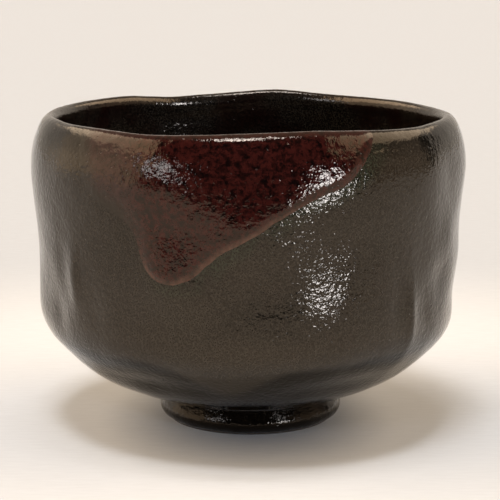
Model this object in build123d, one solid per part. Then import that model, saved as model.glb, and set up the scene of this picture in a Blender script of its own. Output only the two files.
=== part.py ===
from build123d import *
import math
import os

# A hand-built tea bowl in black glaze. Millimetres, +Z up. The origin is the middle of the foot's resting
# plane, the front of the bowl (the side with the red glaze curtain) faces -Y, and +X is to the right.

# --- Driving dimensions -------------------------------------------------------------------------------
FOOT_HEIGHT = 9.0            # from the resting plane to the flat underside of the body
FOOT_OUTER_RADIUS = 24.9     # the foot ring's clay at its fullest
FOOT_WAIST = 1.6             # how much slimmer it is at its neck, under the body
FOOT_SHOULDER = 0.5          # how much slimmer it is above the rounding of its resting edge
FOOT_INNER_RADIUS = 18.6     # the foot well at its roof
REST_OUTER_RADIUS = 23.4     # the bare band that the bowl stands on
REST_INNER_RADIUS = 20.4
REST_ROUNDING = 1.2          # height of the rounded edges beside that band
WELL_BULGE = 0.2             # how much the foot well's wall opens halfway up
WELL_CORNER = 3.0            # reach of the glaze that fills the well's upper corner, inwards from the wall
WELL_CORNER_DROP = 0.8       # and downwards from the roof
NUB_RADIUS = 7.0             # the trimmed nub left in the middle of the foot well
NUB_HEIGHT = 1.1
NUB_MIDDLE = (0.6, 0.65)     # a point on its side, as shares of its radius and height
GLAZE = 0.9                  # black coat on the body and on the outside of the foot
FOOT_BELLY_HEIGHT = 3.0      # where the foot is fullest
FOOT_NECK_HEIGHT = 7.3       # where it is slimmest, before its coat flares into the body's coat
WELL_GLAZE = 0.6             # black coat on the roof of the foot well
WELL_WALL_GLAZE = 0.5        # and on its wall
RED_GLAZE = 0.5              # iron-red coat over the black one
BARE_EDGE = 0.5              # the foot's glaze stops this far above the resting plane
COAT_LAP = 0.2               # how far the foot's coat stands off its clay's corners
RING_POINTS = 40             # points round each section ring
LIP_WAVE_START = 48.0        # below this height the lip's waves have died out
SHAPE_START = 26.0           # inside this radius the bowl is truly round
SHAPE_FULL = 46.0            # outside this radius the hand's marks have their full depth

# Clay stations from the foot to the lip: (outer radius, outer height, inner radius, inner height).
STATIONS = [
    (25.6, 9.0, 19.0, 16.6),
    (31.6, 10.4, 28.4, 17.6),
    (38.6, 13.2, 35.2, 19.4),
    (45.6, 17.2, 41.2, 22.4),
    (51.2, 22.4, 46.6, 26.6),
    (55.7, 28.3, 50.6, 32.4),
    (56.9, 36.5, 52.1, 39.8),
    (57.4, 47.0, 52.8, 48.4),
    (58.0, 57.0, 54.1, 57.4),
    (58.9, 66.0, 55.0, 65.8),
    (59.2, 73.0, 55.2, 72.4),
    (58.5, 78.6, 55.0, 77.8),
    (57.2, 82.6, 54.4, 81.8),
    (55.9, 84.8, 53.7, 84.1),
]
CREST = (54.8, 85.6)         # top of the clay lip
POOL = (8.0, 15.6)           # flat bottom of the tea pool in the floor
PARTING_FOOT = 2             # the parting of outer and inner glaze starts inside the clay at this station
PARTING_TOP = 95.0           # and runs up past the crest to this height

# The potter's marks: (azimuth, height, depth, half width in degrees, half height). Azimuth is measured
# anticlockwise from +X, so -90 is the front. A positive depth is pressed in, a negative one stands out.
PRESSES = [
    (-85.0, 84.0, 1.7, 38.0, 20.0),
    (-78.0, 35.0, -1.9, 32.0, 13.0),
    (-72.0, 56.0, 0.7, 20.0, 9.0),
    (-106.0, 66.5, -0.7, 8.0, 5.0),
    (-110.0, 62.0, 1.2, 10.0, 5.5),
    (-107.0, 48.5, -1.5, 10.5, 6.5),
    (-90.0, 60.0, -2.3, 12.0, 8.0),
    (-74.0, 66.0, -0.5, 10.0, 6.5),
    (-43.0, 34.0, -0.8, 5.0, 11.0),
    (-26.0, 72.0, 1.0, 7.0, 10.0),
    (-140.0, 48.0, -0.7, 6.0, 10.0),
    (-158.0, 38.0, 0.8, 8.0, 9.0),
    (178.0, 32.0, -0.9, 20.0, 8.0),
    (-6.0, 37.0, 0.6, 14.0, 5.0),
    (-4.0, 45.0, -0.4, 14.0, 5.0),
    (0.0, 62.0, 0.4, 30.0, 8.0),
    (100.0, 40.0, 1.5, 25.0, 14.0),
    (30.0, 40.0, 1.2, 14.0, 14.0),
    (150.0, 60.0, 1.2, 18.0, 12.0),
    (60.0, 66.0, -0.8, 16.0, 9.0),
]
# Out-of-round of the whole wall, and the broad rise and fall of the lip: (waves round, size, phase).
OVALS = [(1, 0.5, 180.0), (2, 0.35, 20.0), (3, 0.25, 75.0)]
LIP_WAVES = [(1, 0.6, 90.0), (2, 0.25, 10.0)]
# Local rises and dips of the lip: (azimuth, rise, half width in degrees).
LIP_MARKS = [
    (-118.0, -0.9, 15.0),
    (-76.0, 0.5, 18.0),
    (-35.0, -0.8, 26.0),
    (16.0, -0.9, 20.0),
    (82.0, 1.6, 14.0),
    (117.0, -0.5, 9.0),
    (134.0, 0.5, 14.0),
    (178.0, -0.7, 14.0),
    (-148.0, -0.5, 16.0),
]
# Lower edge of the iron-red curtain across the front: (right, up), from its left end to its right end.
CURTAIN_EDGE = [
    (-42.0, 89.0),
    (-43.5, 78.0),
    (-40.0, 69.0),
    (-31.5, 64.0),
    (-28.0, 58.0),
    (-25.0, 51.0),
    (-20.5, 48.5),
    (-15.0, 50.0),
    (-8.0, 56.2),
    (3.0, 62.5),
    (12.5, 68.3),
    (22.0, 72.3),
    (28.0, 77.0),
    (31.0, 84.0),
    (33.0, 89.0),
]
CURTAIN_REACH = 70.0         # the curtain's outline is cut forwards this far from the axis


def smooth_step(value, start, full):
    """0 below start, 1 above full, and a smooth rise between."""
    share = min(max((value - start) / (full - start), 0.0), 1.0)
    return share * share * (3.0 - 2.0 * share)


def waves(terms, azimuth):
    return sum(size * math.cos(math.radians(count * azimuth - phase)) for count, size, phase in terms)


def bump(value, centre, half_width):
    return math.exp(-(((value - centre) / half_width) ** 2))


def turn_bump(azimuth, centre, half_width):
    return bump((azimuth - centre + 180.0) % 360.0, 180.0, half_width)


def hand_marks(azimuth, height):
    """Change of radius that the potter's presses and ridges make at one place on the wall."""
    return -sum(
        depth * turn_bump(azimuth, at, half_width) * bump(height, level, half_height)
        for at, level, depth, half_width, half_height in PRESSES
    )


def lip_rise(azimuth):
    marks = sum(rise * turn_bump(azimuth, at, half_width) for at, rise, half_width in LIP_MARKS)
    return waves(LIP_WAVES, azimuth) + marks


def shaped(radius, height, azimuth, mark_radius, mark_height):
    """Point on the bowl for a round station, with the ovality, hand marks and lip waves of that azimuth."""
    depth = smooth_step(mark_radius, SHAPE_START, SHAPE_FULL)
    radius += depth * (waves(OVALS, azimuth) + hand_marks(azimuth, mark_height))
    height += smooth_step(mark_height, LIP_WAVE_START, CREST[1]) * lip_rise(azimuth)
    angle = math.radians(azimuth)
    return Vector(radius * math.cos(angle), radius * math.sin(angle), height)


def meridian():
    """Clay section from the foot joint up the outside, over the crest and down to the tea pool."""
    outside = [(station[0], station[1]) for station in STATIONS]
    inside = [(station[2], station[3]) for station in reversed(STATIONS)]
    return outside + [CREST] + inside + [POOL]


def ring(radius, height, mark_radius, mark_height):
    """Closed section ring. Every ring has the same parameters, so a loft through them stays light."""
    azimuths = [360.0 * step / RING_POINTS for step in range(RING_POINTS)]
    points = [shaped(radius, height, azimuth, mark_radius, mark_height) for azimuth in azimuths]
    return Wire([Edge.make_spline(points, periodic=True, parameters=list(range(RING_POINTS + 1)))])


def offset_station(path, index, distance):
    """Station moved square to the section, outwards from the clay."""
    before = path[max(index - 1, 0)]
    after = path[min(index + 1, len(path) - 1)]
    run, rise = after[0] - before[0], after[1] - before[1]
    length = math.hypot(run, rise)
    radius, height = path[index]
    if index in (0, len(path) - 1):
        return radius, height + math.copysign(distance, -1.0 if index == 0 else 1.0)
    return radius + distance * rise / length, height - distance * run / length


def body_loft(distance):
    """The whole bowl as one solid, grown from the clay's surface by the given distance."""
    path = meridian()
    rings = []
    for index, (mark_radius, mark_height) in enumerate(path):
        radius, height = offset_station(path, index, distance)
        rings.append(ring(radius, height, mark_radius, mark_height))
    return Solid.make_loft(rings)


def parting_loft():
    """Solid whose side runs up inside the clay wall and out through the crest: it parts the two coats."""
    mid = [((a + c) / 2.0, (b + d) / 2.0) for a, b, c, d in STATIONS[PARTING_FOOT:]]
    path = mid + [CREST]
    rings = [ring(*station, *station) for station in path]
    rings.append(ring(CREST[0], PARTING_TOP, *CREST))
    return Solid.make_loft(rings)


def turned(outline):
    """Body of revolution about the bowl's axis from an outline in the (radius, height) plane."""
    return revolve(make_face(Plane.XZ * outline), Axis.Z)


def foot_wall():
    """Outer line of the foot ring's clay, from the bare band up to the body."""
    return Spline(
        (REST_OUTER_RADIUS, 0.0),
        (FOOT_OUTER_RADIUS - FOOT_SHOULDER, REST_ROUNDING),
        (FOOT_OUTER_RADIUS, FOOT_BELLY_HEIGHT),
        (FOOT_OUTER_RADIUS - FOOT_WAIST, FOOT_NECK_HEIGHT),
        (FOOT_OUTER_RADIUS - FOOT_SHOULDER, FOOT_HEIGHT),
    )


def foot_well_wall():
    """Inner line of the foot ring's clay, from the body down to the bare band."""
    middle = (FOOT_INNER_RADIUS + WELL_BULGE, FOOT_HEIGHT / 2.0)
    rounded = (REST_INNER_RADIUS - FOOT_SHOULDER - WELL_BULGE, REST_ROUNDING)
    return Spline((FOOT_INNER_RADIUS, FOOT_HEIGHT), middle, rounded, (REST_INNER_RADIUS, 0.0))


def foot_ring():
    outer, inner = foot_wall(), foot_well_wall()
    return turned(outer + Line(outer @ 1, inner @ 0) + inner + Line(inner @ 1, outer @ 0))


def foot_plug():
    """The foot with its well filled, which marks where the body's own coat ends."""
    outer = foot_wall()
    return turned(outer + Polyline(outer @ 1, (0.0, FOOT_HEIGHT), (0.0, 0.0), outer @ 0))


def nub_line(drop):
    """Section of the nub in the foot well, from its tip on the axis to its rim, lowered by drop."""
    roof = FOOT_HEIGHT - drop
    side = (NUB_RADIUS * NUB_MIDDLE[0], roof - NUB_HEIGHT * NUB_MIDDLE[1])
    return ThreePointArc((0.0, roof - NUB_HEIGHT), side, (NUB_RADIUS, roof))


def clay_body():
    line = nub_line(0.0)
    nub = turned(line + Polyline(line @ 1, (0.0, FOOT_HEIGHT), line @ 0))
    return body_loft(0.0) + nub


def foot_ring_coat():
    """Glaze round the foot, swelling over its belly and flaring where it runs into the body's coat."""
    belly = FOOT_OUTER_RADIUS + GLAZE
    top = FOOT_HEIGHT - COAT_LAP
    face = Spline(
        (REST_OUTER_RADIUS + COAT_LAP, BARE_EDGE),
        (belly - FOOT_SHOULDER, BARE_EDGE + REST_ROUNDING),
        (belly, FOOT_BELLY_HEIGHT),
        (belly - FOOT_WAIST, FOOT_NECK_HEIGHT),
        (belly + 2.0 * GLAZE, top),
    )
    back = Polyline(face @ 1, (REST_INNER_RADIUS, top), (REST_INNER_RADIUS, BARE_EDGE), face @ 0)
    return turned(face + back)


def foot_well_coat():
    """Glaze over the nub, the roof of the foot well and its wall, down to the bare band."""
    nub = nub_line(WELL_GLAZE)
    roof = FOOT_HEIGHT - WELL_GLAZE
    inner = FOOT_INNER_RADIUS - WELL_WALL_GLAZE
    corner = (FOOT_INNER_RADIUS - WELL_CORNER, roof)
    wall = Spline(
        corner,
        (inner - WELL_WALL_GLAZE, roof - WELL_CORNER_DROP),
        (inner, FOOT_HEIGHT / 2.0),
        (REST_INNER_RADIUS - WELL_WALL_GLAZE + 0.5 * WELL_BULGE, BARE_EDGE),
        tangents=[(1.0, 0.0), (FOOT_SHOULDER, -1.0)],
    )
    outside = (REST_OUTER_RADIUS, FOOT_HEIGHT + WELL_GLAZE)
    back = Polyline(wall @ 1, (outside[0], BARE_EDGE), outside, (0.0, outside[1]), nub @ 0)
    return turned(nub + Line(nub @ 1, corner) + wall + back)


def curtain_outline():
    """Solid in front of the axis with the outline of the iron-red curtain, open above the lip."""
    edge = Spline(*CURTAIN_EDGE)
    top = Polyline(edge @ 1, (CURTAIN_EDGE[-1][0], PARTING_TOP), (CURTAIN_EDGE[0][0], PARTING_TOP), edge @ 0)
    return extrude(Plane.XZ * make_face(edge + top), CURTAIN_REACH)


def largest(shape):
    """The one real solid of a cut, without any sliver beside it."""
    return max(shape.solids(), key=lambda solid: solid.volume)


def pieces():
    clay, ring_clay, parting = clay_body(), foot_ring(), parting_loft()
    glazed = body_loft(GLAZE)
    coat = glazed - clay - foot_plug()
    outer = largest(coat - parting)
    curtain = (body_loft(GLAZE + RED_GLAZE) & curtain_outline()) - glazed - parting
    return {
        "clay_body": clay,
        "foot_ring": ring_clay,
        "outer_glaze": outer,
        "inner_glaze": largest(coat & parting),
        "red_glaze_curtain": largest(curtain),
        "foot_ring_glaze": largest(foot_ring_coat() - ring_clay - clay - outer),
        "foot_well_glaze": largest(foot_well_coat() - ring_clay - clay),
    }


def main():
    """Write each piece, moved so that the origin is under the middle of the bowl's outline."""
    os.makedirs("parts", exist_ok=True)
    made = pieces()
    middle = Compound(list(made.values())).bounding_box().center()
    for name, shape in made.items():
        export_step(Pos(-middle.X, -middle.Y, 0.0) * largest(shape), f"parts/{name}.step")


if __name__ == "__main__":
    main()
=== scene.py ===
import math

import bpy
import numpy as np
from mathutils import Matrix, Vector, noise
from mathutils.bvhtree import BVHTree


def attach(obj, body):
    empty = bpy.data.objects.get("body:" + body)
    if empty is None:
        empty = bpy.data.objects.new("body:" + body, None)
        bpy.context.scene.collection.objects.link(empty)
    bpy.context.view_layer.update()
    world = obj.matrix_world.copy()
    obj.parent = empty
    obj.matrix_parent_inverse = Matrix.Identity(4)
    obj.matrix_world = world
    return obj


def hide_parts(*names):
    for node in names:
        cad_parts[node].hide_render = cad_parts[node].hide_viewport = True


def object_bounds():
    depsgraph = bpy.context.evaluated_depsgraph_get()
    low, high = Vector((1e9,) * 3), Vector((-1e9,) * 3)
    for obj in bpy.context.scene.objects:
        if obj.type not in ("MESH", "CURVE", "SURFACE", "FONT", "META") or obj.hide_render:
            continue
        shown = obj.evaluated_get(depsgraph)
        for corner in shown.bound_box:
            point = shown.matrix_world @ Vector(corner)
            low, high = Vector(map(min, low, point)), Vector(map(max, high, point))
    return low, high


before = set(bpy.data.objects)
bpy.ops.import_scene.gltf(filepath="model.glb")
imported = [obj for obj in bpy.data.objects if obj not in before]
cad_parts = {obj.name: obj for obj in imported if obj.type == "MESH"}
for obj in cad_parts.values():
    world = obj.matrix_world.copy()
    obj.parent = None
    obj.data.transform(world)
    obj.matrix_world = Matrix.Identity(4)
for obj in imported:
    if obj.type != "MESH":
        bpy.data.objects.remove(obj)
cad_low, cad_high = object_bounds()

# A black-glazed tea bowl with an iron-red glaze curtain, in metres, in the frame of the CAD model.
# The glaze coats are rebuilt as fine closed skins: rays sent at the CAD glaze from a path in the middle of
# the wall find its face, the facets are smoothed away, and the glaze's own relief is laid on top.

MM = 0.001
BODY = "root"
HALF_WIDTH = (cad_high.x - cad_low.x) / 2.0
HEIGHT = cad_high.z

# --- Camera, floor and light --------------------------------------------------------------------------
CAMERA_PLACE = (0.00038, -0.4295, 0.126)
CAMERA_PITCH = 10.4          # degrees below the horizon
CAMERA_LENS = 111.4          # millimetres on a 36 mm sensor
FLOOR_RADIUS = 40.0
# The floor holds a painted pool of light: it is painted paler near the bowl than far off.
PAINTED_LIGHT_POOL = (0.09, 0.26)    # the floor is a little paler near the bowl, and even past this
# Lit panels: (middle, half) across and up. The first two are azimuth and elevation in radians, the last two
# are the X and Y of the direction.
SOFTBOX = ((-0.85, 0.11), (0.11, 0.08))
SOFTBOX_LIGHT = (24.08, 26.88, 32.2)
WINDOW = ((-2.36, 0.14), (0.34, 0.08))
WINDOW_LIGHT = (5.95, 6.65, 8.05)
OVERHEAD = ((-0.08, 0.12), (-0.17, 0.09))
OVERHEAD_LIGHT = (21.12, 22.0, 23.32)
STRIP = ((-0.02, 0.17), (0.04, 0.035))
STRIP_LIGHT = (20.16, 21.0, 22.26)
# The studio's other colours, and the place of a dark gap in it.
CREAM = (0.80, 0.745, 0.67)
FRONT_DARK = (0.022, 0.020, 0.020)
BACK_LOW = (0.70, 0.62, 0.53)
BACK_HIGH = (0.25, 0.20, 0.15)
SIDE_LEFT = (1.25, 1.02, 0.77)
SIDE_RIGHT = (0.52, 0.41, 0.31)
GAP = ((0.42, 0.12), (0.40, 0.37))
GAP_DARK = (0.03, 0.027, 0.025)
CEILING_LEFT = (4.10, 3.25, 2.35)
CEILING_RIGHT = (3.45, 2.75, 1.98)
GLAZE_IOR = 1.51
PEEL_DEPTH = 0.16 * MM
GLAZE_TINT = (1.0, 0.83, 0.66)
# The same tint also paints shade on the lip at the left and right.
THIN_AND_SHADE_TINT = (0.10, 0.07, 0.04)   # where the glaze has run thin

# --- Skin grid ----------------------------------------------------------------------------------------
COLUMNS = 576                # round the bowl
OUTER_ROWS = 150             # from the foot to the lip
LIP_ROWS = 18                # over the lip
INNER_ROWS = 84              # from the lip to the heel inside
FLOOR_ROWS = 30              # from there to the middle of the floor
REACH = 12.0 * MM            # rays start this far from the middle of the wall
SMOOTH = 1.6 * MM            # spread of the smoothing that takes the CAD mesh's facets away
LIP_SMOOTH = 0.6 * MM        # the same at the lip
COLUMN_SPACING = 0.5 * MM    # columns are thinned out where they would crowd closer than this
SKIN = 0.9 * MM              # thickness of the black skins
FOOT_SKIN = 0.7 * MM
RED_THICKNESS = 0.5 * MM
RED_ROOT = 0.3 * MM          # the back of the curtain lies this deep in the black coat
RED_MARGIN = 1.0 * MM        # and its slab goes this far past its edge, under the black face
BACK_STEP = 8                # the hidden back of a skin keeps one row in this many
ROW_SPACING = 0.8 * MM       # about how far apart the rows are
KNOT_STEPS = 24              # points from one knot of a curve to the next, before they are spaced evenly
LIP_LEVEL = 0.905            # share of the height where the path is laid in the middle of the real wall
SHIFT_SPAN = (0.6, 0.88)     # shares of the height between which the path leaves the plain round
CURTAIN_BLUR = 2.2 * MM
EDGE_RATE = 1.702            # a blurred edge is nearly a logistic curve with this rate
FOOT_ROWS = 40
FOOT_FAN = (-62.0, 50.0)     # degrees up from level
FOOT_HEART = (22.0 * MM, 4.0 * MM)   # radius and height of the point that the fan starts from
FOOT_REACH = 8.0 * MM

# Middle of the clay wall from the foot to the lip, as shares of the half width and of the height.
WALL_MIDDLE = [
    (0.418, 0.147),
    (0.530, 0.160),
    (0.637, 0.191),
    (0.737, 0.237),
    (0.828, 0.292),
    (0.887, 0.359),
    (0.906, 0.444),
    (0.914, 0.547),
    (0.926, 0.649),
    (0.940, 0.752),
    (0.947, 0.826),
    (0.940, 0.888),
    (0.927, 0.924),
]
FLOOR_MIDDLE = [(0.418, 0.147), (0.270, 0.145), (0.132, 0.142), (0.006, 0.142)]

# Relief of the glaze's face: (size, depth, seed of the noise).
RIPPLES = [(18.0 * MM, 0.22 * MM, 3.0), (7.0 * MM, 0.10 * MM, 9.0), (2.2 * MM, 0.035 * MM, 5.0)]
EDGE_WANDER = [(9.0 * MM, 0.7 * MM, 21.0), (3.0 * MM, 0.3 * MM, 23.0)]
RED_RIPPLE = [(2.4 * MM, 0.06 * MM, 7.0)]
FOOT_RIPPLES = [(6.0 * MM, 0.15 * MM, 31.0), (2.0 * MM, 0.05 * MM, 33.0)]
THIN_WANDER = [(12.0 * MM, 1.2 * MM, 41.0)]

# Below this line above the foot the glaze has run thin. The line dips in a tongue at the front.
THIN_LINE = 27.5 * MM
TONGUE_DIP = 8.5 * MM
TONGUE_AZIMUTH = -96.0
TONGUE_HALF = 12.0
# On the lip at the left and right the glaze is also made duller and darker by this share, as painted shade,
# but for a stretch at the front with this half width.
LIP_PAINTED_SHADE = 0.6
LIP_FRONT = 17.0 * MM
# Where the glaze is pocked: X and Z of the middle, and half the width and height.
POCK_MIDDLE = (15.0 * MM, 58.0 * MM)
POCK_HALF = (13.0 * MM, 8.0 * MM)


def smooth_line(shares, count):
    """Evenly spaced points on a smooth curve through the given shares of half width and height."""
    knots = np.array(shares) * (HALF_WIDTH, HEIGHT)
    padded = np.vstack([2 * knots[0] - knots[1], knots, 2 * knots[-1] - knots[-2]])
    fine = []
    for a, b, c, d in zip(padded, padded[1:], padded[2:], padded[3:]):
        t = np.linspace(0.0, 1.0, KNOT_STEPS, endpoint=False)[:, None]
        square, cube = 2 * a - 5 * b + 4 * c - d, 3 * b - a - 3 * c + d
        fine.append(0.5 * (2 * b + (c - a) * t + square * t**2 + cube * t**3))
    fine = np.vstack([*fine, knots[-1:]])
    length = np.concatenate([[0.0], np.cumsum(np.hypot(*np.diff(fine, axis=0).T))])
    even = np.linspace(0.0, length[-1], count)
    return np.stack([np.interp(even, length, fine[:, k]) for k in (0, 1)], 1)


def outward(line):
    """Unit normals on the right-hand side of a line in the (radius, height) plane."""
    run = np.gradient(line, axis=0)
    return np.stack([run[:, 1], -run[:, 0]], 1) / np.hypot(*run.T)[:, None]


def probe_path():
    """Places inside the wall and directions out of it: up the outside, over the lip and down to the floor."""
    wall = smooth_line(WALL_MIDDLE, OUTER_ROWS)
    out = outward(wall)
    turn = math.atan2(out[-1, 1], out[-1, 0]) + np.linspace(0.0, math.pi, LIP_ROWS + 2)[1:-1]
    lip = np.repeat(wall[-1:], LIP_ROWS, axis=0)
    inside = smooth_line(WALL_MIDDLE, INNER_ROWS)
    floor = smooth_line(FLOOR_MIDDLE, FLOOR_ROWS)[1:]
    places = np.vstack([wall, lip, inside[::-1], floor])
    ways = np.vstack([out, np.stack([np.cos(turn), np.sin(turn)], 1), -outward(inside)[::-1], outward(floor)])
    crest = OUTER_ROWS + int(np.argmax(np.sin(turn)))
    return places, ways, crest


def tree(*nodes):
    """One search tree over the meshes of some CAD nodes."""
    points, faces = [], []
    for name in nodes:
        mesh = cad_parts[name].data
        faces += [[v + len(points) for v in p.vertices] for p in mesh.polygons]
        points += [v.co.copy() for v in mesh.vertices]
    return BVHTree.FromPolygons(points, faces)


AZIMUTHS = np.arange(COLUMNS) * 2.0 * math.pi / COLUMNS


def around(flat, shift=0.0):
    """(rows, 2) of radius and height as (rows, columns, 3) points about the axis, shifted outwards."""
    radius, height = flat[:, 0, None] + shift, flat[:, 1, None]
    spread = [radius * np.cos(AZIMUTHS), radius * np.sin(AZIMUTHS), height + 0.0 * AZIMUTHS]
    return np.stack(spread, -1)


def probe(target, places, ways):
    """Distance from the path to the target's outermost face along each way, nan where a ray misses."""
    starts, aims = around(places + REACH * ways, SHIFT), around(ways)
    found = np.full(starts.shape[:2], np.nan)
    for row in range(starts.shape[0]):
        for column in range(COLUMNS):
            aim = Vector(-aims[row, column])
            hit = target.ray_cast(Vector(starts[row, column]), aim, REACH)
            if hit[0] is not None:
                found[row, column] = REACH - hit[3]
    return found


def filled(field):
    """The field with each row's gaps closed from the columns beside them."""
    columns = np.arange(COLUMNS)
    for row in field:
        gaps = np.isnan(row)
        if gaps.any() and not gaps.all():
            row[gaps] = np.interp(columns[gaps], columns[~gaps], row[~gaps], period=COLUMNS)
    return field


def blurred(field, radii, spread, row_spacing):
    """Gaussian blur of a field on the skin grid, with the same spread in metres both ways."""
    waves_round = np.fft.rfftfreq(COLUMNS, 1.0 / COLUMNS)
    turn_spread = spread / np.maximum(radii, spread)[:, None]
    fade = np.exp(-((waves_round * turn_spread) ** 2) / 2)
    field = np.fft.irfft(np.fft.rfft(field, axis=1) * fade, COLUMNS, axis=1)
    reach = int(3 * spread / row_spacing) + 1
    weights = np.exp(-((np.arange(-reach, reach + 1) * row_spacing / spread) ** 2) / 2)
    padded = np.pad(field, ((reach, reach), (0, 0)), mode="edge")
    rows = [np.tensordot(weights, padded[r:r + 2 * reach + 1], 1) for r in range(len(field))]
    return np.array(rows) / weights.sum()


def field_noise(points, layers):
    """Sum of smooth noises, one value per point. Each layer is (size of the features, depth, seed)."""
    total = np.zeros(points.shape[:-1])
    for size, depth, seed in layers:
        shift = Vector((seed, 1.7 * seed, -2.3 * seed))
        flat = points.reshape(-1, 3) / size
        total += depth * np.array([noise.noise(Vector(p) + shift) for p in flat]).reshape(total.shape)
    return total


def grid_normals(points):
    """Unit normals of a grid that is closed round its columns."""
    along = np.roll(points, -1, 1) - np.roll(points, 1, 1)
    up = np.gradient(points, axis=0)
    cross = np.cross(along, up)
    return cross / np.maximum(np.linalg.norm(cross, axis=2, keepdims=True), 1e-12)


def smooth_step(value, start, full):
    share = np.clip((value - start) / (full - start), 0.0, 1.0)
    return share * share * (3.0 - 2.0 * share)


def lip_shift():
    """How far outside the path the middle of the real wall lies just under the lip, round the bowl."""
    target = tree("outer_glaze", "inner_glaze")
    level = LIP_LEVEL * HEIGHT
    middles = []
    for turn in AZIMUTHS:
        way = Vector((math.cos(turn), math.sin(turn), 0.0))
        axis = Vector((0.0, 0.0, level))
        inner = target.ray_cast(axis, way)[3]
        outer = 2.0 * HALF_WIDTH - target.ray_cast(axis + 2.0 * HALF_WIDTH * way, -way)[3]
        middles.append((inner + outer) / 2.0)
    wall = smooth_line(WALL_MIDDLE, OUTER_ROWS)
    nominal = np.interp(level, wall[:, 1], wall[:, 0])
    return blurred(np.array([middles]), np.array([nominal]), 3.0 * MM, ROW_SPACING) - nominal


PLACES, WAYS, CREST = probe_path()
ROWS = np.arange(len(PLACES))[:, None]
RADII = np.maximum(PLACES[:, 0], 0.5 * MM)
SHIFT = smooth_step(PLACES[:, 1:], *(share * HEIGHT for share in SHIFT_SPAN)) * lip_shift()


def near_row(middle, half):
    """1 on the row that lies this many past the crest, fading away over some rows on each side."""
    return np.exp(-(((ROWS - CREST - middle) / half) ** 2)) + 0.0 * AZIMUTHS


def glaze_depth():
    """Smoothed distance of the black glaze's face from the middle of the wall."""
    depth = filled(probe(tree("outer_glaze", "inner_glaze"), PLACES, WAYS))
    broad = blurred(depth, RADII, SMOOTH, ROW_SPACING)
    close = blurred(depth, RADII, LIP_SMOOTH, ROW_SPACING)
    return broad + near_row(0.0, LIP_ROWS) * (close - broad)


def curtain_distance():
    """Distance inside (positive) or outside the edge of the red curtain, in metres, good to about 6 mm."""
    covered = ~np.isnan(probe(tree("red_glaze_curtain"), PLACES, WAYS))
    covered[CREST - 2:] = covered[CREST - 3]    # the crest itself is not an edge of it
    share = np.clip(blurred(covered.astype(float), RADII, CURTAIN_BLUR, ROW_SPACING), 0.003, 0.997)
    return CURTAIN_BLUR * np.log(share / (1.0 - share)) / EDGE_RATE


def placed(depth):
    return around(PLACES, SHIFT) + around(WAYS) * depth[..., None]


# --- Meshes -------------------------------------------------------------------------------------------


def ring_steps(radii):
    """For each row of a skin, how many columns one kept column stands for: more of them near the axis."""
    steps = []
    for radius in radii:
        spacing = 2.0 * math.pi * radius / COLUMNS
        wanted = 1
        while wanted < COLUMNS // 9 and spacing * wanted < COLUMN_SPACING:
            wanted *= 2
        steps.append(wanted)
    return steps


def bridge(first, second):
    """Faces between two closed rings of vertex numbers, one of which may hold a multiple of the other's."""
    if len(first) < len(second):
        return [face[::-1] for face in bridge(second, first)]
    fine, coarse = list(first) + [first[0]], list(second) + [second[0]]
    if len(first) == len(second):
        return [(fine[k], fine[k + 1], coarse[k + 1], coarse[k]) for k in range(len(first))]
    ratio = len(first) // len(second)
    faces = []
    for k in range(len(second)):
        for q in range(ratio):
            near = coarse[k] if q < ratio // 2 else coarse[k + 1]
            faces.append((fine[k * ratio + q], fine[k * ratio + q + 1], near))
        faces.append((fine[k * ratio + ratio // 2], coarse[k + 1], coarse[k]))
    return faces


def build(name, points, faces, normals, values, material, replaces):
    """A piece of the bowl from vertices, faces, shading normals and named vertex values."""
    mesh = bpy.data.meshes.new(name)
    mesh.from_pydata([tuple(p) for p in points], [], [tuple(map(int, f)) for f in faces])
    mesh.shade_smooth()
    for key, numbers in values.items():
        layer = mesh.attributes.new(key, "FLOAT", "POINT")
        layer.data.foreach_set("value", np.asarray(numbers, np.float32))
    mesh.normals_split_custom_set_from_vertices([tuple(n) for n in normals])
    mesh.materials.append(material)
    piece = bpy.data.objects.new(name, mesh)
    bpy.context.scene.collection.objects.link(piece)
    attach(piece, BODY)
    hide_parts(replaces)
    return piece


def skin(name, surface, normals, values, thickness, material, replaces):
    """A closed skin over a grid of rows. Its back lies inwards and has few rows, since it is hidden."""
    radii = np.hypot(surface[..., 0], surface[..., 1]).mean(1)
    steps = ring_steps(radii)
    last = len(radii) - 1
    ends_on_axis = radii[-1] < 2.0 * MM
    points, shading, rings = [], [], []
    marks = {key: [] for key in values}

    def add_ring(row, inset):
        kept = slice(0, COLUMNS, steps[row])
        side = 1.0 if inset == 0.0 else -1.0
        rings.append(range(len(points), len(points) + COLUMNS // steps[row]))
        points.extend(surface[row, kept] - inset * normals[row, kept])
        shading.extend(side * normals[row, kept])
        for key in values:
            marks[key].extend(values[key][row, kept])

    def add_pole(inset):
        points.append(surface[-1].mean(0) - (0.0, 0.0, inset))
        shading.append((0.0, 0.0, 1.0 if inset == 0.0 else -1.0))
        for key in values:
            marks[key].append(values[key][-1, 0])

    for row in range(len(radii)):
        add_ring(row, 0.0)
    poles = (len(points), len(points) + 1)
    if ends_on_axis:
        add_pole(0.0)
        add_pole(thickness)
    for row in reversed(range(len(radii))):
        if row % BACK_STEP == 0 or row == last:
            add_ring(row, thickness)
    faces = bridge(rings[-1], rings[0])
    for k, (first, second) in enumerate(zip(rings, rings[1:])):
        if not (ends_on_axis and k == last):
            faces += bridge(first, second)
    if ends_on_axis:
        front, back = rings[last], rings[last + 1]
        faces += [(front[k], front[(k + 1) % len(front)], poles[0]) for k in range(len(front))]
        faces += [(back[(k + 1) % len(back)], back[k], poles[1]) for k in range(len(back))]
    return build(name, points, faces, shading, marks, material, replaces)


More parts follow.
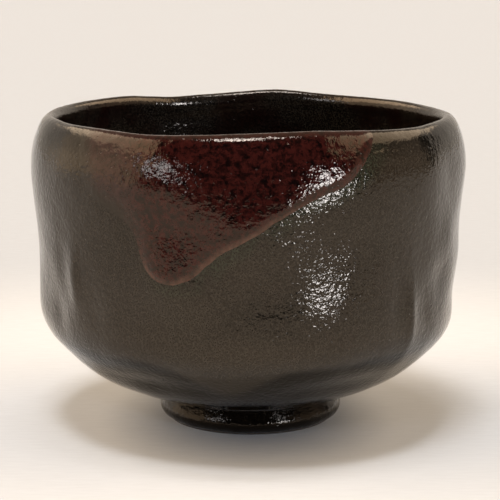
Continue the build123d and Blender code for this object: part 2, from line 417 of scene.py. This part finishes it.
def patch(name, mask, front, back, normals, values, material, replaces):
    """A closed slab over the masked cells of the grid, between two surfaces."""
    rows, columns = np.nonzero(mask)
    cells = [(r, c, r + 1, (c + 1) % COLUMNS) for r, c in zip(rows, columns)]
    used = sorted({(r, c) for r0, c0, r1, c1 in cells for r, c in ((r0, c0), (r0, c1), (r1, c0), (r1, c1))})
    number = {place: k for k, place in enumerate(used)}
    under = len(used)
    faces = []
    edges = {}
    for r0, c0, r1, c1 in cells:
        corners = [number[r0, c0], number[r0, c1], number[r1, c1], number[r1, c0]]
        faces.append(tuple(corners))
        faces.append(tuple(under + k for k in reversed(corners)))
        for k in range(4):
            edges[corners[k], corners[(k + 1) % 4]] = True    # a dict, to keep their order
    for first, second in edges:
        if (second, first) not in edges:
            faces.append((second, first, under + first, under + second))
    at = tuple(np.array(used).T)
    points = np.vstack([front[at], back[at]])
    shading = np.vstack([normals[at], -normals[at]])
    marks = {key: np.concatenate([field[at], field[at]]) for key, field in values.items()}
    return build(name, points, faces, shading, marks, material, replaces)


# --- Materials ----------------------------------------------------------------------------------------


class Nodes:
    """A shader node tree with short helpers: each adds a node and gives its output."""

    def __init__(self, node_tree, space):
        self.nodes = node_tree.nodes
        self.links = node_tree.links
        self.place = self.nodes.new("ShaderNodeTexCoord").outputs[space]

    def feed(self, term, socket):
        """Put a number, a colour or another node's output into a socket."""
        if isinstance(term, bpy.types.NodeSocket):
            self.links.new(term, socket)
        elif isinstance(term, tuple) and len(socket.default_value) == 4:
            socket.default_value = (*term, 1.0)
        else:
            socket.default_value = term

    def noise(self, size, detail=2.0, roughness=0.5, stretch=(1.0, 1.0, 1.0)):
        """Noise from 0 to 1 with features about this many metres across, longer along a stretched axis."""
        node = self.nodes.new("ShaderNodeTexNoise")
        node.inputs["Scale"].default_value = 1.0 / size
        node.inputs["Detail"].default_value = detail
        node.inputs["Roughness"].default_value = roughness
        shrunk = self.nodes.new("ShaderNodeVectorMath")
        shrunk.operation = "DIVIDE"
        shrunk.inputs[1].default_value = stretch
        self.feed(self.place, shrunk.inputs[0])
        self.feed(shrunk.outputs["Vector"], node.inputs["Vector"])
        return node.outputs["Fac"]

    def cells(self, size):
        """Distance from the nearest of many scattered points, about this many metres apart."""
        node = self.nodes.new("ShaderNodeTexVoronoi")
        node.inputs["Scale"].default_value = 1.0 / size
        self.feed(self.place, node.inputs["Vector"])
        return node.outputs["Distance"]

    def value(self, name):
        """A value stored on the mesh."""
        node = self.nodes.new("ShaderNodeAttribute")
        node.attribute_name = name
        return node.outputs["Fac"]

    def axes(self):
        """X, Y and Z of the place."""
        node = self.nodes.new("ShaderNodeSeparateXYZ")
        self.feed(self.place, node.inputs[0])
        return node.outputs

    def ramp(self, factor, *stops):
        """Colour of a factor, from stops of (factor, colour)."""
        node = self.nodes.new("ShaderNodeValToRGB")
        while len(node.color_ramp.elements) < len(stops):
            node.color_ramp.elements.new(1.0)
        for element, (position, colour) in zip(node.color_ramp.elements, stops):
            element.position = position
            element.color = (*colour, 1.0)
        self.feed(factor, node.inputs["Fac"])
        return node.outputs["Color"]

    def spread(self, value, low, high, to_low=0.0, to_high=1.0):
        """A value's span from low to high laid smoothly over another span, and held beyond it."""
        node = self.nodes.new("ShaderNodeMapRange")
        node.interpolation_type = "SMOOTHSTEP"
        for key, number in zip(("From Min", "From Max", "To Min", "To Max"), (low, high, to_low, to_high)):
            self.feed(number, node.inputs[key])
        self.feed(value, node.inputs["Value"])
        return node.outputs["Result"]

    def math(self, operation, first, second=0.0):
        node = self.nodes.new("ShaderNodeMath")
        node.operation = operation
        self.feed(first, node.inputs[0])
        self.feed(second, node.inputs[1])
        return node.outputs["Value"]

    def mix(self, factor, first, second):
        node = self.nodes.new("ShaderNodeMix")
        node.data_type = "RGBA"
        self.feed(factor, node.inputs[0])
        self.feed(first, node.inputs[6])
        self.feed(second, node.inputs[7])
        return node.outputs[2]

    def relief(self, *layers):
        """Bumps laid on each other: (height, depth in metres for a height of 1)."""
        normal = None
        for height, depth in layers:
            node = self.nodes.new("ShaderNodeBump")
            self.feed(depth, node.inputs["Distance"])
            self.feed(height, node.inputs["Height"])
            if normal is not None:
                self.feed(normal, node.inputs["Normal"])
            normal = node.outputs["Normal"]
        return normal


def new_material(name):
    """A material, its node helper and its Principled shader."""
    material = bpy.data.materials.new(name)
    material.use_nodes = True
    nodes = Nodes(material.node_tree, "Object")
    return material, nodes, nodes.nodes["Principled BSDF"].inputs


def glassy(nodes, inputs, peel_size):
    """Iron-rich glaze: it reflects strongly and a little warmly, and its face is pocked like orange peel.
    It is calmer near the lip, a little duller inside, and dark where it runs out above the foot and where
    shade is painted on the lip at the left and right."""
    inputs["IOR"].default_value = GLAZE_IOR
    # The thin mark also carries painted shade on the lip at the left and right, which dulls the reflection
    # there.
    nodes.feed(nodes.mix(nodes.value("thin"), GLAZE_TINT, THIN_AND_SHADE_TINT), inputs["Specular Tint"])
    shine = nodes.spread(nodes.noise(2.5 * MM, 3.0), 0.35, 0.7, 0.02, 0.06)
    dull = nodes.math("MULTIPLY", nodes.value("inside"), 0.12)
    nodes.feed(nodes.math("ADD", shine, dull), inputs["Roughness"])
    unrest = nodes.math("SUBTRACT", 1.0, nodes.math("MULTIPLY", nodes.value("calm"), 0.65))
    peel = nodes.math("MULTIPLY", nodes.noise(peel_size), unrest)
    pocked = nodes.math("MULTIPLY", nodes.noise(0.9 * MM, 1.0), nodes.value("pock"))
    grain = nodes.noise(0.45 * MM, 1.0)
    pits = nodes.spread(nodes.cells(2.2 * MM), 0.0, 0.14)
    layers = (peel, PEEL_DEPTH), (pocked, 0.30 * MM), (grain, 0.03 * MM), (pits, 0.08 * MM)
    nodes.feed(nodes.relief(*layers), inputs["Normal"])


def mottled(nodes, factor, dark, light, low=0.42, high=0.66):
    """Colour in flecks from dark to light."""
    return nodes.ramp(factor, (low, dark), (high, light))


def thin_glaze():
    """The thin coat of the foot: nearly black, and duller than the thick one but for a few glints."""
    material, nodes, inputs = new_material("thin_black_glaze")
    glassy(nodes, inputs, 1.0 * MM)
    inputs["Specular IOR Level"].default_value = 0.3
    speckle = nodes.noise(0.5 * MM, 5.0, 0.7)
    colour = mottled(nodes, speckle, (0.0006, 0.0004, 0.0003), (0.009, 0.006, 0.004), 0.4, 0.75)
    nodes.feed(colour, inputs["Base Color"])
    return material


def black_glaze():
    """The thick coat: olive black, rusty in clouds inside, green beside the curtain, and brown on the lip as
    a painted reflection of the pale band along the crest.
    """
    material, nodes, inputs = new_material("black_glaze")
    glassy(nodes, inputs, 1.15 * MM)
    fine = nodes.noise(0.5 * MM, 5.0, 0.75)
    olive = mottled(nodes, fine, (0.0006, 0.0005, 0.0004), (0.034, 0.027, 0.020))
    rust = mottled(nodes, fine, (0.001, 0.0005, 0.0005), (0.02, 0.007, 0.005), 0.4, 0.7)
    green = mottled(nodes, fine, (0.0006, 0.001, 0.0006), (0.036, 0.044, 0.027))
    cloudy = nodes.spread(nodes.noise(14 * MM, 3.0), 0.4, 0.65)
    colour = nodes.mix(nodes.math("MULTIPLY", nodes.value("inside"), cloudy), olive, rust)
    patchy = nodes.math("MULTIPLY", nodes.value("tint"), nodes.spread(nodes.noise(6 * MM, 4.0), 0.3, 0.55))
    colour = nodes.mix(patchy, colour, green)
    # Painted reflection: the lip is tinted brown for the pale band that the crest mirrors.
    colour = nodes.mix(nodes.math("MULTIPLY", nodes.value("lip"), 0.5), colour, (0.02, 0.012, 0.008))
    # Nearly black where the glaze runs thin above the foot, and as painted shade on the lip at the left and
    # right.
    colour = nodes.mix(nodes.math("MULTIPLY", nodes.value("thin"), 0.8), colour, (0.001, 0.0006, 0.0003))
    nodes.feed(colour, inputs["Base Color"])
    return material


def red_glaze():
    """The curtain: deep red, with a light band along its front edge, and paler where it thins and fades at
    the left, partly a painted reflection of the pale floor.
    """
    material, nodes, inputs = new_material("red_glaze")
    glassy(nodes, inputs, 1.2 * MM)
    fine = nodes.noise(1.6 * MM, 6.0, 0.72)
    x = nodes.axes()[0]
    edge = nodes.value("edge")
    left = nodes.spread(x, -24 * MM, -34 * MM)
    dark, middle, light = (0.003, 0.0012, 0.0012), (0.026, 0.0050, 0.0040), (0.042, 0.008, 0.006)
    deep = nodes.ramp(fine, (0.40, dark), (0.52, middle), (0.66, light))
    # Paler pink at the left: partly the thinner glaze, partly a painted reflection of the pale floor.
    pale = mottled(nodes, fine, (0.022, 0.011, 0.010), (0.050, 0.026, 0.024), 0.35, 0.65)
    deep = nodes.mix(nodes.math("MULTIPLY", left, 0.7), deep, pale)
    fade = nodes.math("MULTIPLY", nodes.spread(edge, 0.0, 9.0 * MM, 1.0, 0.0), left)
    deep = nodes.mix(fade, deep, (0.014, 0.011, 0.008))
    front = nodes.spread(x, -30 * MM, -22 * MM)
    front = nodes.math("MULTIPLY", front, nodes.spread(x, 2 * MM, 18 * MM, 1.0, 0.15))
    band = nodes.math("MULTIPLY", nodes.spread(edge, 0.3 * MM, 1.9 * MM, 1.0, 0.0), front)
    patchy = nodes.math("MULTIPLY", band, nodes.spread(nodes.noise(3 * MM, 4.0), 0.3, 0.6, 0.45, 1.0))
    brick = mottled(nodes, fine, (0.05, 0.022, 0.014), (0.10, 0.045, 0.03), 0.35, 0.65)
    colour = nodes.mix(patchy, deep, brick)
    # Painted reflection: the lip is tinted brown for the pale band that the crest mirrors.
    colour = nodes.mix(nodes.math("MULTIPLY", nodes.value("lip"), 0.5), colour, (0.03, 0.012, 0.008))
    nodes.feed(colour, inputs["Base Color"])
    return material


def bare_clay():
    material, nodes, inputs = new_material("bare_clay")
    grit = nodes.noise(0.8 * MM, 5.0, 0.7)
    colour = mottled(nodes, grit, (0.03, 0.022, 0.017), (0.10, 0.078, 0.06), 0.3, 0.7)
    nodes.feed(colour, inputs["Base Color"])
    nodes.feed(nodes.spread(nodes.noise(1.5 * MM), 0.3, 0.7, 0.75, 0.95), inputs["Roughness"])
    nodes.feed(nodes.relief((nodes.noise(0.6 * MM, 4.0, 0.7), 0.15 * MM)), inputs["Normal"])
    return material


def cloth_floor():
    material, nodes, inputs = new_material("floor")
    threads = nodes.noise(1.2 * MM, 3.0, 0.6, stretch=(6.0, 1.0, 1.0))
    # Painted pool of light: the near colour is paler than the far one and takes over close to the bowl.
    far = mottled(nodes, threads, (0.540, 0.558, 0.584), (0.576, 0.595, 0.622), 0.3, 0.7)
    near = mottled(nodes, threads, (0.730, 0.738, 0.748), (0.768, 0.776, 0.786), 0.3, 0.7)
    away = nodes.nodes.new("ShaderNodeVectorMath")
    away.operation = "LENGTH"
    nodes.feed(nodes.place, away.inputs[0])
    nodes.feed(nodes.mix(nodes.spread(away.outputs["Value"], *PAINTED_LIGHT_POOL), near, far), inputs["Base Color"])
    inputs["Roughness"].default_value = 0.95
    inputs["Specular IOR Level"].default_value = 0.0
    return material


# --- The bowl's pieces --------------------------------------------------------------------------------


# Finer marks of the potter's hand than the CAD model holds: (azimuth in degrees, height in mm, depth in mm,
# half width in degrees, half height in mm). A positive depth is pressed in, a negative one stands out.
FINE_MARKS = [
    (-108.0, 49.0, -0.60, 10.0, 6.0),
    (-108.0, 56.5, -0.90, 9.5, 5.5),
    (-43.0, 37.0, -0.45, 1.6, 9.0),
    (-48.0, 38.0, 0.35, 3.0, 10.0),
    (-37.0, 36.0, 0.45, 4.0, 9.0),
    (-141.0, 46.0, -0.5, 2.2, 8.0),
    (-147.0, 48.0, 0.5, 3.5, 9.0),
    (-152.0, 36.0, 0.6, 4.5, 6.0),
    (-134.0, 40.0, 0.35, 4.0, 7.0),
    (-28.0, 45.0, 0.5, 5.0, 5.0),
    (-24.0, 56.0, -0.4, 5.0, 6.0),
    (-120.0, 19.0, 0.7, 16.0, 3.0),
    (-62.0, 18.0, 0.8, 20.0, 3.5),
    (-92.0, 19.0, -0.4, 9.0, 4.0),
    (40.0, 50.0, -0.4, 2.5, 12.0),
    (85.0, 35.0, 0.5, 5.0, 8.0),
    (120.0, 55.0, -0.4, 3.0, 10.0),
]


def fine_marks(at):
    """Change of depth that the fine marks make at each place on the outside."""
    azimuth = np.degrees(np.arctan2(at[..., 1], at[..., 0]))
    height = at[..., 2] / MM
    change = np.zeros(height.shape)
    for middle, level, depth, half_width, half_height in FINE_MARKS:
        turn = (azimuth - middle + 180.0) % 360.0 - 180.0
        change -= depth * MM * np.exp(-((turn / half_width) ** 2) - ((height - level) / half_height) ** 2)
    change[CREST:] = 0.0
    return change


def thin_glaze_and_lip_shade(at):
    """How far the glaze has thinned out above the foot, and how much painted shade darkens the lip at the
    left and right.
    """
    azimuth = np.degrees(np.arctan2(at[..., 1], at[..., 0]))
    line = THIN_LINE - TONGUE_DIP * np.exp(-(((azimuth - TONGUE_AZIMUTH) / TONGUE_HALF) ** 2))
    above_foot = smooth_step(line + field_noise(at, THIN_WANDER) - at[..., 2], -1.0 * MM, 2.0 * MM)
    # Painted shade on the lip: darker and duller at the left and right, away from the front.
    painted_lip_shade = smooth_step(ROWS, CREST - 16.0, CREST - 9.0) * smooth_step(ROWS, CREST + 2.0, CREST - 1.0)
    aside = 1.0 - np.exp(-((at[..., 0] / LIP_FRONT) ** 4))
    return np.maximum(above_foot, LIP_PAINTED_SHADE * painted_lip_shade * aside)


def shading_marks(at, distance):
    """Values on the grid that the materials read, each from 0 to 1."""
    x, y, z = np.moveaxis(at, -1, 0)
    inside = (ROWS > CREST) + 0.0 * AZIMUTHS
    tint = smooth_step(distance, -9.0 * MM, -0.5 * MM) * smooth_step(x, -28.0 * MM, -18.0 * MM)
    across, up = (x - POCK_MIDDLE[0]) / POCK_HALF[0], (z - POCK_MIDDLE[1]) / POCK_HALF[1]
    return {
        "tint": tint * (1.0 - inside),
        # The lip mark carries a painted reflection: a brown tint along the crest.
        "lip": near_row(0.0, 3.0),
        "inside": inside,
        "pock": np.exp(-(across**2) - up**2) * (y < 0.0),
        "calm": near_row(-5.0, 8.0),
        "thin": (1.0 - inside) * thin_glaze_and_lip_shade(at),
    }


def curtain_rise(at, distance):
    """Thickness of the red glaze. It swells in from its edge, is thinner at the left and ends at the lip."""
    left = smooth_step(at[..., 0], -22.0 * MM, -34.0 * MM)
    swell = np.clip(distance / ((3.0 + 7.0 * left) * MM), -0.5, 1.0)
    rise = RED_THICKNESS * (1.0 - 0.5 * left) * np.sin(swell * math.pi / 2.0)
    rise += field_noise(at, RED_RIPPLE) * np.clip(distance / (1.0 * MM), 0.0, 1.0)
    return rise * smooth_step(ROWS, CREST + 2.0, CREST - 4.0)


def make_black_coats(surface, marks, black):
    """The outer and the inner skin, which meet on the crest of the lip."""
    normals = grid_normals(surface)
    for name, part, node in (
        ("black_glaze_outside", slice(0, CREST + 1), "outer_glaze"),
        ("black_glaze_inside", slice(CREST, len(PLACES)), "inner_glaze"),
    ):
        values = {key: field[part] for key, field in marks.items()}
        skin(name, surface[part], normals[part], values, SKIN, black, node)


def make_curtain(front, surface, distance, marks, red):
    """The red glaze as a slab from its own face down into the black coat."""
    near = distance > -RED_MARGIN
    mask = near[:-1] & near[1:] & np.roll(near, -1, 1)[:-1] & np.roll(near, -1, 1)[1:]
    mask[CREST + 2:] = False
    back = surface - RED_ROOT * grid_normals(surface)
    # The thin mark brings the lip's painted shade to the curtain too.
    values = {"edge": distance, "lip": marks["lip"], "calm": marks["calm"], "thin": marks["thin"]}
    name, node = "red_glaze_curtain_skin", "red_glaze_curtain"
    patch(name, mask, front, back, grid_normals(front), values, red, node)


def make_bowl(black, red):
    depth = glaze_depth()
    at = placed(depth)
    distance = curtain_distance() + field_noise(at, EDGE_WANDER)
    depth = depth + field_noise(at, RIPPLES) + fine_marks(at)
    surface = placed(depth)
    marks = shading_marks(at, distance)
    make_black_coats(surface, marks, black)
    make_curtain(placed(depth + curtain_rise(at, distance)), surface, distance, marks, red)


def make_foot(thin, clay):
    """The foot's coat as a finely waved skin. The bare clay and the foot well keep their CAD shapes."""
    corners = np.array([v.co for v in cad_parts["foot_ring_glaze"].data.vertices])
    middle = (corners.min(0) + corners.max(0)) / 2.0 * (1.0, 1.0, 0.0)
    fan = np.radians(np.linspace(*FOOT_FAN, FOOT_ROWS))
    ways = np.stack([np.cos(fan), np.sin(fan)], 1)
    places = np.repeat([FOOT_HEART], FOOT_ROWS, axis=0)
    target = tree("foot_ring_glaze")
    starts, aims = around(places + FOOT_REACH * ways), around(ways)
    depth = np.full(FOOT_ROWS, np.nan)
    for row in range(FOOT_ROWS):
        hit = target.ray_cast(Vector(starts[row, 0] + middle), Vector(-aims[row, 0]), FOOT_REACH)
        if hit[0] is not None:
            depth[row] = FOOT_REACH - hit[3]
    found = np.flatnonzero(~np.isnan(depth))
    depth = np.interp(np.arange(FOOT_ROWS), found, depth[found])
    smooth = around(places + ways * depth[:, None]) + middle
    surface = smooth + aims * field_noise(smooth, FOOT_RIPPLES)[..., None]
    normals = grid_normals(surface)
    skin("foot_glaze", surface, normals, {}, FOOT_SKIN, thin, "foot_ring_glaze")
    for node, material in (("clay_body", clay), ("foot_ring", clay), ("foot_well_glaze", thin)):
        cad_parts[node].data.materials.clear()
        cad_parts[node].data.materials.append(material)


def make_floor():
    bpy.ops.mesh.primitive_circle_add(vertices=64, radius=FLOOR_RADIUS, fill_type="NGON")
    floor = bpy.context.object
    floor.name = "floor"
    floor.data.materials.append(cloth_floor())


def make_camera():
    data = bpy.data.cameras.new("camera")
    data.lens = CAMERA_LENS
    data.clip_start = 0.01
    camera = bpy.data.objects.new("camera", data)
    bpy.context.scene.collection.objects.link(camera)
    camera.location = CAMERA_PLACE
    camera.rotation_euler = (math.radians(90.0 - CAMERA_PITCH), 0.0, 0.0)
    bpy.context.scene.camera = camera


def panel(nodes, across, up, size):
    """A soft-edged lit rectangle in two coordinates of the sky: (middle, half) for each."""
    shape = 1.0
    for value, (middle, half) in zip((across, up), size):
        off = nodes.math("ABSOLUTE", nodes.math("SUBTRACT", value, middle))
        shape = nodes.math("MULTIPLY", shape, nodes.spread(off, half * 0.85, half * 1.15, 1.0, 0.0))
    return shape


def room_colour(nodes, x, y, z, azimuth, elevation):
    """The unlit studio: dark in front, pale behind, a wall on each side and a bright ceiling beyond them."""
    front = nodes.mix(nodes.spread(elevation, 0.0, 0.025), CREAM, FRONT_DARK)
    back = nodes.mix(nodes.spread(z, 0.40, 0.60), BACK_LOW, BACK_HIGH)
    room = nodes.mix(nodes.spread(y, 0.0, 0.2), front, back)
    to_right = nodes.spread(x, -0.5, 0.5)
    wall = nodes.spread(nodes.math("ABSOLUTE", nodes.math("COSINE", azimuth)), 0.84, 0.88)
    wall = nodes.math("MULTIPLY", wall, nodes.spread(elevation, 0.74, 0.64))
    room = nodes.mix(wall, room, nodes.mix(to_right, SIDE_LEFT, SIDE_RIGHT))
    room = nodes.mix(panel(nodes, azimuth, elevation, GAP), room, GAP_DARK)
    narrower = nodes.math("MULTIPLY", nodes.math("MINIMUM", y, 0.0), 0.45)
    aside = nodes.math("ADD", nodes.math("ABSOLUTE", x), narrower)
    ceiling = nodes.math("MULTIPLY", nodes.spread(aside, 0.40, 0.50), nodes.spread(z, 0.44, 0.52))
    return nodes.mix(ceiling, room, nodes.mix(to_right, CEILING_LEFT, CEILING_RIGHT))


def make_world():
    """The studio as the colour of each direction: the room, and the lit panels in front and overhead."""
    world = bpy.data.worlds.new("studio")
    bpy.context.scene.world = world
    world.use_nodes = True
    nodes = Nodes(world.node_tree, "Generated")
    x, y, z = nodes.axes()
    azimuth = nodes.math("ARCTAN2", y, x)
    elevation = nodes.math("ARCSINE", z)
    room = room_colour(nodes, x, y, z, azimuth, elevation)
    for size, light in ((SOFTBOX, SOFTBOX_LIGHT), (WINDOW, WINDOW_LIGHT)):
        room = nodes.mix(panel(nodes, azimuth, elevation, size), room, light)
    above = nodes.math("GREATER_THAN", z, 0.0)
    for size, light in ((OVERHEAD, OVERHEAD_LIGHT), (STRIP, STRIP_LIGHT)):
        room = nodes.mix(nodes.math("MULTIPLY", panel(nodes, x, y, size), above), room, light)
    nodes.feed(room, nodes.nodes["Background"].inputs["Color"])


make_bowl(black_glaze(), red_glaze())
make_foot(thin_glaze(), bare_clay())
make_floor()
make_camera()
make_world()
bpy.context.scene.view_settings.view_transform = "Standard"
